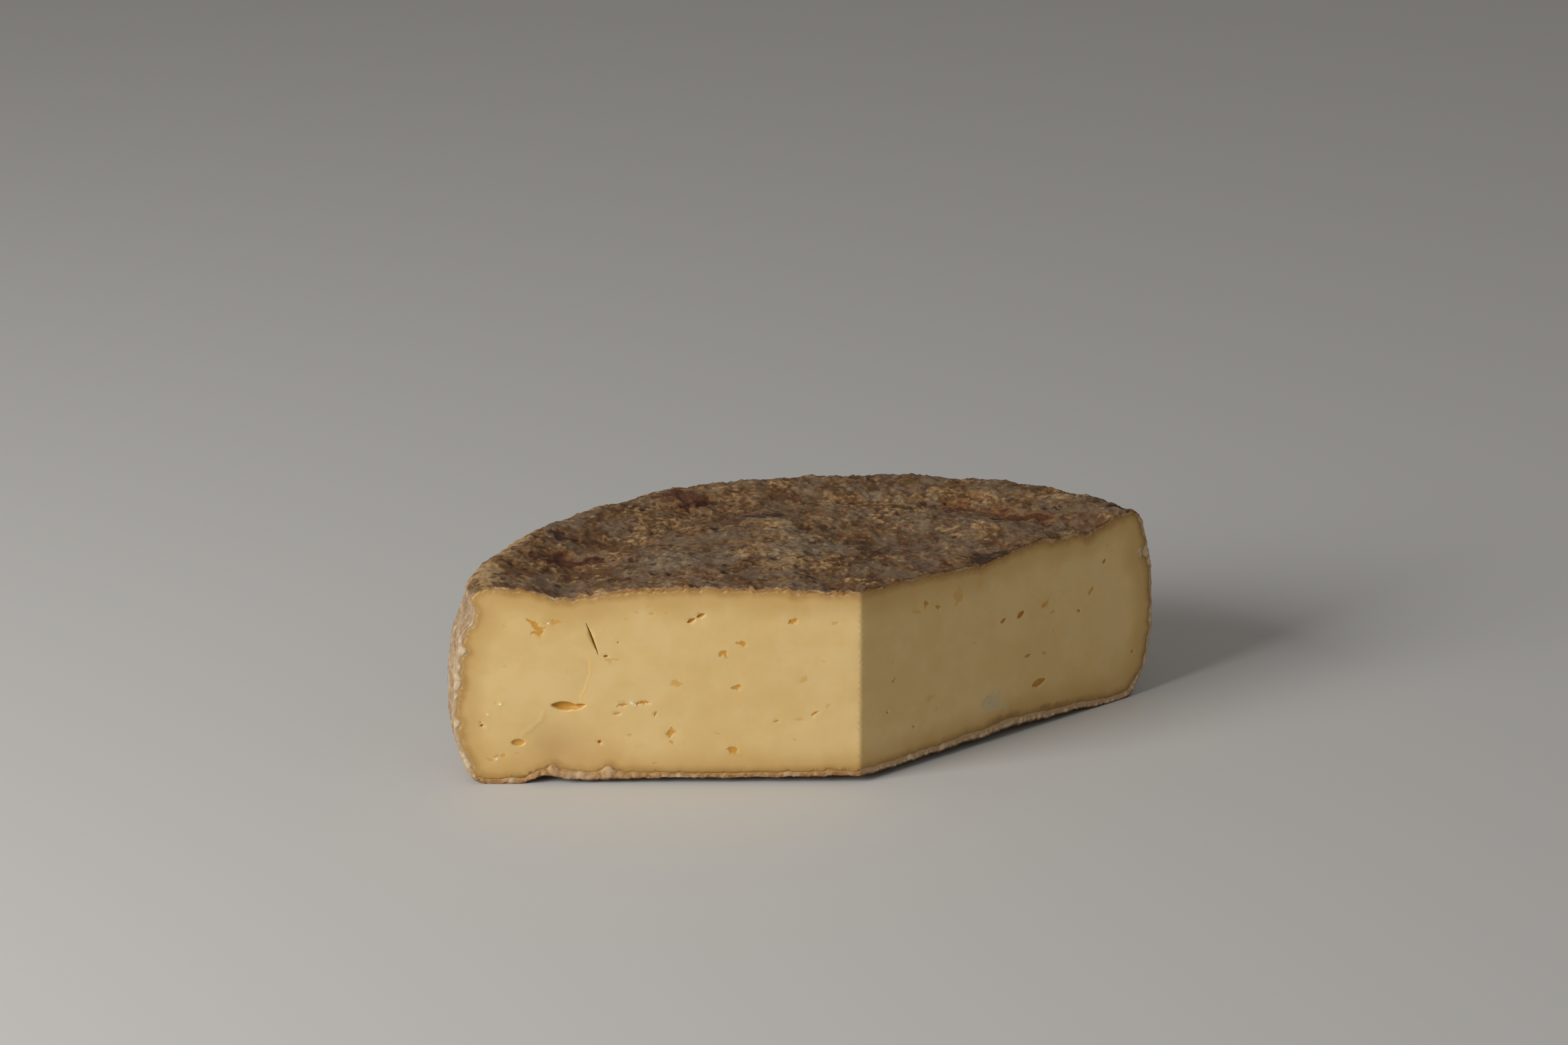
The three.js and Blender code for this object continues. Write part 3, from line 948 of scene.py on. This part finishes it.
def buildPaste(edges):
    ways, turns, faces, sides, lines = skinMesh(cutWays, hiddenGaps, hiddenGaps)
    smooth, out = skinPlaces(ways, turns)
    body = smooth - out * paste["hidden"]
    for name in cuts:
        edge = edges[name]
        body[lines[name]] = rowAt(name, edge, edge["thick"] - rind["overlap"], 0)
    top, foot = body[lines["left"][0], 2], body[lines["left"][-1], 2]
    heights = np.linspace(foot, top, int((top - foot) / paste["gap"]))[1:-1]
    axis = np.stack([0 * heights, heights], 1)
    count = len(body)
    apex = list(range(count, count + len(axis)))
    count += len(axis)
    allPlaces = [body, np.stack([0 * heights, 0 * heights, heights], 1)]
    allFaces = list(faces)
    regions = [2 + side for side in sides]
    masks = {key: [np.zeros(count)] for key in markKinds}
    masks["nearRind"] = [np.zeros(len(body)), np.minimum(top - heights, heights - foot)]
    for number, (name, cut) in enumerate(cuts.items()):
        edge = np.stack([body[lines[name]] @ cut["along"], body[lines[name]][:, 2]], 1)
        ring = np.concatenate([edge, axis])
        spots = marks[name] + unseenMarks(name)
        found, made, known = fillRing(ring, facePoints(name, ring, spots))
        fresh = found[[index is None for index in known]]
        depth, spotMasks = markDepths(fresh, spots, 30 + 50 * number)
        near = distanceTo(fresh, edge)
        rim = smoothStep(near, 0, 2.5) * smoothStep(fresh[:, 0], 0, 3)
        depth = depth * smoothStep(near, 0, 0.8)
        long, high = paste["waveSize"]
        depth += paste["waves"] * rim * np.array([
            noise.fractal(Vector((a / long, b / high, number * 4.0)), 0.6, 2, 2) for a, b in fresh])
        if name == "left":
            step, spotMasks["crease"] = lineStep(fresh, crease)
            ridge, _ = lineStep(fresh, fold)
            depth += step + ridge
        allPlaces.append(inPlane(cut, fresh[:, 0], fresh[:, 1]) - depth[:, None] * cut["outward"])
        masks["nearRind"].append(near)
        for key in markKinds:
            masks[key].append(spotMasks[key])
        names = lines[name] + apex
        indices = []
        for index in known:
            indices.append(count if index is None else names[index])
            count += index is None
        for a, b, c in made:
            face = (indices[a], indices[b], indices[c])
            allFaces.append(face if name == "right" else face[::-1])
            regions.append(number)
        print(name, "cut face:", len(fresh), "points,", len(made), "triangles")
    extra = count - len(body)
    return {
        "places": np.concatenate(allPlaces), "faces": allFaces, "regions": regions,
        "masks": {key: np.concatenate(values) for key, values in masks.items()},
        "way": np.concatenate([ways, np.zeros(extra)]), "turn": np.concatenate([turns, np.zeros(extra)]),
    }


def pasteSheets(made):
    left, right = [
        np.stack([made["places"] @ cut["along"], made["places"][:, 2]], 1) for cut in cuts.values()]
    over = rolledOut(made["way"], made["turn"])
    under = rolledOut(whole - made["way"], made["turn"])
    return {
        0: (left, (1, 1), 1),
        1: (right, (1, 59), 1),
        2: (over, (112, 2), 0.02),
        3: (under, (112, 8), 0.02),
    }


# Shader maths

class Wire:
    # a socket that makes Math nodes when it is used in a sum
    def __init__(self, finish, socket):
        self.finish = finish
        self.socket = socket

    def maths(self, operation, first, second):
        return self.finish.node("Math", {"operation": operation}, {0: first, 1: second})

    def __add__(self, other):
        return self.maths("ADD", self, other)

    def __sub__(self, other):
        return self.maths("SUBTRACT", self, other)

    def __rsub__(self, other):
        return self.maths("SUBTRACT", other, self)

    def __mul__(self, other):
        return self.maths("MULTIPLY", self, other)

    __radd__ = __add__
    __rmul__ = __mul__


class Finish:
    def __init__(self, name):
        self.material = bpy.data.materials.new(name)
        self.material.use_nodes = True
        self.tree = self.material.node_tree
        self.tree.nodes.clear()
        metres = self.node("TexCoord", {}, {}, "Object")
        self.place = self.node("VectorMath", {"operation": "SCALE"}, {"Vector": metres, "Scale": 1 / mm})

    def node(self, kind, settings, sockets, output=0):
        made = self.tree.nodes.new("ShaderNode" + kind)
        for key, value in settings.items():
            setattr(made, key, value)
        for key, value in sockets.items():
            if isinstance(value, Wire):
                self.tree.links.new(value.socket, made.inputs[key])
            else:
                made.inputs[key].default_value = value
        return Wire(self, made.outputs[output]) if made.outputs else None

    def mask(self, name):
        return self.node("Attribute", {"attribute_name": name}, {}, "Fac")

    def shifted(self, shift):
        sockets = {0: self.place, 1: (shift, shift * 0.7, -shift)}
        return self.node("VectorMath", {"operation": "ADD"}, sockets)

    def grain(self, size, detail, rough, warp, shift):
        # noise with a mean of a half, size in millimetres
        return self.node("TexNoise", {}, {
            "Vector": self.shifted(shift), "Scale": 1 / size, "Detail": detail, "Roughness": rough,
            "Distortion": warp})

    def cells(self, size, shift):
        return self.node("TexVoronoi", {"feature": "F1"}, {
            "Vector": self.shifted(shift), "Scale": 1 / size}, "Distance")

    def between(self, value, low, high, to=1.0):
        return self.node("MapRange", {"interpolation_type": "SMOOTHSTEP"}, {
            "Value": value, "From Min": low, "From Max": high, "To Min": 0.0, "To Max": to})

    def mix(self, first, second, share):
        settings = {"data_type": "RGBA", "clamp_factor": True}
        return self.node("Mix", settings, {0: share, 6: first, 7: second}, 2)

    def layers(self, colour, rows):
        # each row lays a colour over the last where a value rises from low to high, as far as most
        for over, value, low, high, most in rows:
            colour = self.mix(colour, over, self.between(value, low, high, most))
        return colour

    def bumps(self, height, strength, deep, under=None):
        sockets = {"Height": height, "Strength": strength, "Distance": deep * mm}
        if under:
            sockets["Normal"] = under
        return self.node("Bump", {}, sockets)

    def surface(self, sockets):
        shader = self.node("BsdfPrincipled", {}, sockets)
        self.node("OutputMaterial", {}, {"Surface": shader})
        return self.material


def shade(red, green, blue):
    # a colour given as it shows on a screen
    shares = [value / 255 for value in (red, green, blue)]
    linear = [share / 12.92 if share < 0.0404 else ((share + 0.055) / 1.055) ** 2.4 for share in shares]
    return (*linear, 1.0)


def shades(colours):
    return {name: shade(*colour) for name, colour in colours.items()}


rindColours = shades({
    "deep": (46, 28, 17),
    "brown": (104, 70, 40),
    "umber": (80, 52, 31),
    "tan": (158, 118, 68),
    "pale": (188, 154, 106),
    "grey": (130, 110, 88),
    "blush": (146, 108, 80),
    "moss": (100, 86, 48),
    "russet": (82, 42, 22),
    "maroon": (56, 27, 18),
    "rim": (156, 106, 56),
    "bloom": (150, 134, 108),
    "powder": (182, 162, 132),
    "powderShade": (138, 112, 82),
    "white": (212, 196, 168),
    "bandDark": (84, 54, 34),
    "bandTan": (172, 126, 74),
    "bandRust": (142, 98, 54),
    "bandPink": (200, 170, 132),
    "cream": (222, 200, 164),
    "ochre": (184, 142, 80),
})


def rindFinish():
    f = Finish("rind")
    c = rindColours
    drift = f.grain(17, 3, 0.5, 0.4, 3)
    turns = f.grain(8, 5, 0.62, 0.9, 17)
    mottle = f.grain(3.2, 6, 0.66, 0.8, 31)
    flecks = f.grain(1.7, 5, 0.66, 0.6, 140)
    fine = f.grain(0.8, 5, 0.7, 0.3, 57)
    side = f.mask("side")
    # raised crust and grains are painted lighter, partly paler crust and partly painted highlight
    raised = f.mask("height") * 0.12 + f.mask("grains") * 0.1
    light = f.layers(c["pale"], [
        (c["grey"], drift, 0.43, 0.53, 1.0),
        (c["blush"], f.grain(12, 4, 0.6, 0.5, 71), 0.54, 0.62, 0.7),
    ])
    colour = f.layers(c["umber"], [
        (c["brown"], turns, 0.38, 0.54, 1.0),
        (c["tan"], mottle * 0.7 + flecks * 0.45 + raised, 0.5, 0.74, 0.74),
        (c["grey"], f.grain(10, 4, 0.6, 0.6, 200) + flecks * 0.3, 0.6, 0.76, 0.6),
        (light, flecks * 0.75 + turns * 0.4 + raised, 0.56, 0.76, 0.84),
        (c["moss"], f.grain(5.5, 5, 0.66, 1.0, 90), 0.56, 0.66, 0.6),
    ])
    # patches, ragged at their rims, dark flecks with painted shade in the cracks and pits,
    # then light dust with painted highlights on the raised crust
    ragged = mottle * 0.7 + flecks * 0.35
    bloom = f.layers(c["grey"], [(c["bloom"], flecks, 0.42, 0.6, 1.0)])
    red = f.mask("russet") * 0.5 + ragged * 1.05
    # painted shade in the cracks and pits, and dark flecks
    low = f.mask("cracks") * 0.3 + f.mask("pits") + (1 - flecks) * 0.7
    colour = f.layers(colour, [
        (bloom, f.mask("bloom") * 0.4 + ragged, 0.7, 1.0, 0.66),
        (c["pale"], f.mask("pale") * 0.45 + ragged, 0.7, 0.96, 0.7),
        (c["rim"], red, 0.7, 0.8, 0.45),
        (c["russet"], red, 0.8, 1.0, 0.86),
        (c["maroon"], f.grain(6, 6, 0.6, 1.8, 120), 0.6, 0.7, 0.6),
        (c["maroon"], f.mask("maroon") * 0.5 + ragged, 0.75, 0.95, 0.85),
        (c["deep"], f.mask("dark") * 0.6 + ragged, 0.75, 1.0, 0.8),
        (c["deep"], low, 0.5, 1.0, 0.7),
        # white specks on the raised crust, partly dust and partly painted highlights
        (c["white"], fine + raised, 0.66, 0.78, 0.45),
    ])
    # the side is powdered over
    powder = f.layers(c["powderShade"], [(c["powder"], mottle * 0.6 + flecks * 0.5, 0.44, 0.68, 1.0)])
    reach = f.between(f.mask("dust") + (turns - 0.5) * 1.8 + (flecks - 0.5) * 0.9, 0.3, 0.95)
    thick = f.between(drift * 0.5 + mottle * 0.5, 0.44, 0.55)
    colour = f.mix(colour, powder, reach * (0.52 + 0.48 * thick))
    # the cut edge: tan at the top, rusty at the foot and creamy at the left side, with crumbs in it
    edge = f.mask("band")
    lump = f.mask("crumb")
    right = f.mask("rightEdge")
    pale = side * (1 - right * 0.35) + right * f.mask("under") * 0.8
    cut = f.layers(c["bandRust"], [
        (c["bandTan"], flecks * 0.6 + mottle * 0.4 + lump * 0.15, 0.42, 0.58, 1.0),
        (c["bandPink"], f.grain(4.5, 3, 0.5, 0.5, 150), 0.5, 0.62, 0.6),
    ])
    cut = f.mix(cut, c["bandPink"], pale * 0.9)
    cut = f.mix(cut, c["cream"], lump * (0.25 + pale * 0.75) * f.between(flecks, 0.3, 0.55))
    cut = f.layers(cut, [
        (c["ochre"], edge - lump * 0.5 - pale * 0.4, 0.5, 1.0, 0.8),
        (c["bandDark"], f.grain(1.6, 4, 0.6, 0.4, 9) - pale * 0.4, 0.58, 0.7, 0.45),
    ])
    within = edge + fine * 0.25 - right * (1 - side) * 0.1 + side * 0.1
    colour = f.layers(colour, [(cut, within, 0.14, 0.4, 1.0)])
    normal = f.bumps(f.grain(0.8, 5, 0.72, 0.3, 44), 0.5, 0.25)
    normal = f.bumps(f.cells(1.3, 12), 0.3, -0.2, normal)
    rough = 0.5 + fine * 0.4 + side * 0.15
    return f.surface({
        "Base Color": colour, "Roughness": rough, "Normal": normal, "Specular IOR Level": 0.35})


pasteColours = shades({
    "paste": (224, 191, 126),
    "light": (228, 197, 136),
    "under": (174, 130, 68),
    "near": (206, 168, 102),
    "stainAndShade": (217, 170, 94),
    # ochre of eyes, stains and the crease, in the eyes partly painted shade; brown, painted shade in slits
    # and deepest holes
    "hollow": (208, 152, 60),
    "dark": (118, 64, 20),
    "speck": (244, 234, 206),
    "mould": (208, 190, 150),
    "smudge": (142, 102, 56),
    # painted shade for the soft hollow low in the left face
    "shadedHollow": (196, 158, 112),
})


def pasteFinish():
    f = Finish("paste")
    c = pasteColours
    wide = f.grain(17, 3, 0.5, 0, 2)
    medium = f.grain(5, 4, 0.55, 0, 60)
    fine = f.grain(0.9, 4, 0.6, 0, 21)
    near = f.mask("nearRind")
    colour = f.layers(c["paste"], [
        (c["light"], wide * 0.6 + medium * 0.4, 0.42, 0.6, 1.0),
        (c["near"], fine, 0.62, 0.78, 0.14),
    ])
    # darker towards the rind
    depth = near + (wide - 0.5) * 7 + (medium - 0.5) * 1.5
    colour = f.mix(colour, c["near"], (1 - f.between(depth, 1.0, 9.0)) * 0.85)
    colour = f.mix(colour, c["under"], (1 - f.between(near + (medium - 0.5) * 2, 0.1, 2.6)) * 0.75)
    # painted shade over the soft hollow low in the left face
    colour = f.mix(colour, c["shadedHollow"], f.mask("shadedHollow") * 0.4)
    colour = f.mix(colour, c["hollow"], f.mask("crease") * 0.34)
    stainAndShade = f.mask("stainAndShade")
    # marks: stains are ochre; in eyes and slits the ochre and the brown of the deepest are partly painted
    # shade
    colour = f.layers(colour, [
        (c["stainAndShade"], stainAndShade, 0.0, 0.5, 0.85),
        (c["hollow"], stainAndShade, 0.45, 0.95, 0.95),
        (c["dark"], stainAndShade, 1.15, 1.7, 0.9),
    ])
    colour = f.mix(colour, c["speck"], f.mask("speck"))
    furry = f.grain(1.6, 4, 0.6, 0.4, 88)
    colour = f.layers(colour, [
        (c["smudge"], f.mask("smudge") + (furry - 0.5) * 0.5, 0.0, 1.1, 0.7),
        (c["mould"], f.mask("mould") + (furry - 0.5) * 1.4, 0.2, 1.05, 0.8),
    ])
    return f.surface({
        "Base Color": colour, "Roughness": 0.42 + fine * 0.12,
        "Normal": f.bumps(f.grain(1.8, 6, 0.6, 0, 5), 0.2, 0.2), "Subsurface Weight": 0.4,
        "Subsurface Radius": (1.0, 0.5, 0.18), "Subsurface Scale": 3 * mm, "Specular IOR Level": 0.4})


rindParts = buildRind()
rindPiece = addPiece("rind", rindParts, rindSheets(rindParts), whole + 26, rindFinish())
pasteParts = buildPaste(rindParts["edges"])
pastePiece = addPiece("paste", pasteParts, pasteSheets(pasteParts), 118, pasteFinish())


# Floor, light and camera

studio = {
    "floor": shade(205, 203, 199),
    "floorReach": 4,        # metres
    "sky": (0.97, 0.94, 0.9, 1),
    "skyStrength": 0.21,
}
# Lamps: degrees to the left of the camera's side, degrees up, metres away, metres across, watts
lamps = {
    "key": (54, 27, 1.4, 0.7, 17),
    "fill": (-60, 45, 1.8, 1.2, 0.8),
}


def addFloor():
    mesh = bpy.data.meshes.new("floor")
    reach = studio["floorReach"]
    corners = [(-reach, -reach, 0), (reach, -reach, 0), (reach, reach, 0), (-reach, reach, 0)]
    mesh.from_pydata(corners, [], [(0, 1, 2, 3)])
    mesh.materials.append(Finish("floor").surface({"Base Color": studio["floor"], "Roughness": 0.8}))
    floor = bpy.data.objects.new("floor", mesh)
    bpy.context.scene.collection.objects.link(floor)


def addLamp(name, azimuth, elevation, distance, size, power):
    lamp = bpy.data.objects.new(name, bpy.data.lights.new(name, "AREA"))
    lamp.data.energy = power
    lamp.data.size = size
    a, e = math.radians(azimuth), math.radians(elevation)
    lamp.location = Vector((-math.sin(a) * math.cos(e), -math.cos(a) * math.cos(e), math.sin(e))) * distance
    lamp.rotation_euler = (-lamp.location).to_track_quat("-Z", "Y").to_euler()
    bpy.context.scene.collection.objects.link(lamp)


addFloor()
for name, settings in lamps.items():
    addLamp(name, *settings)
world = bpy.data.worlds.new("world")
bpy.context.scene.world = world
world.use_nodes = True
sky = world.node_tree.nodes["Background"]
sky.inputs["Color"].default_value = studio["sky"]
sky.inputs["Strength"].default_value = studio["skyStrength"]
bpy.context.scene.view_settings.view_transform = "Standard"

# The camera, placed in millimetres from the foot of the wheel's axis
viewpoint = {
    "place": (-19.5, -988.2, 398.7),
    "down": 18.24,          # degrees
    "roll": 0.12,
    "focalPixels": 6000,
    "frameWide": 2352,      # pixels
    "sensorWide": 36,       # millimetres
}
camera = bpy.data.objects.new("camera", bpy.data.cameras.new("camera"))
bpy.context.scene.collection.objects.link(camera)
camera.location = axisAt + Vector(viewpoint["place"]) * mm
camera.rotation_euler = (math.radians(90 - viewpoint["down"]), math.radians(viewpoint["roll"]), 0)
camera.data.sensor_width = viewpoint["sensorWide"]
camera.data.lens = viewpoint["sensorWide"] * viewpoint["focalPixels"] / viewpoint["frameWide"]
bpy.context.scene.camera = camera
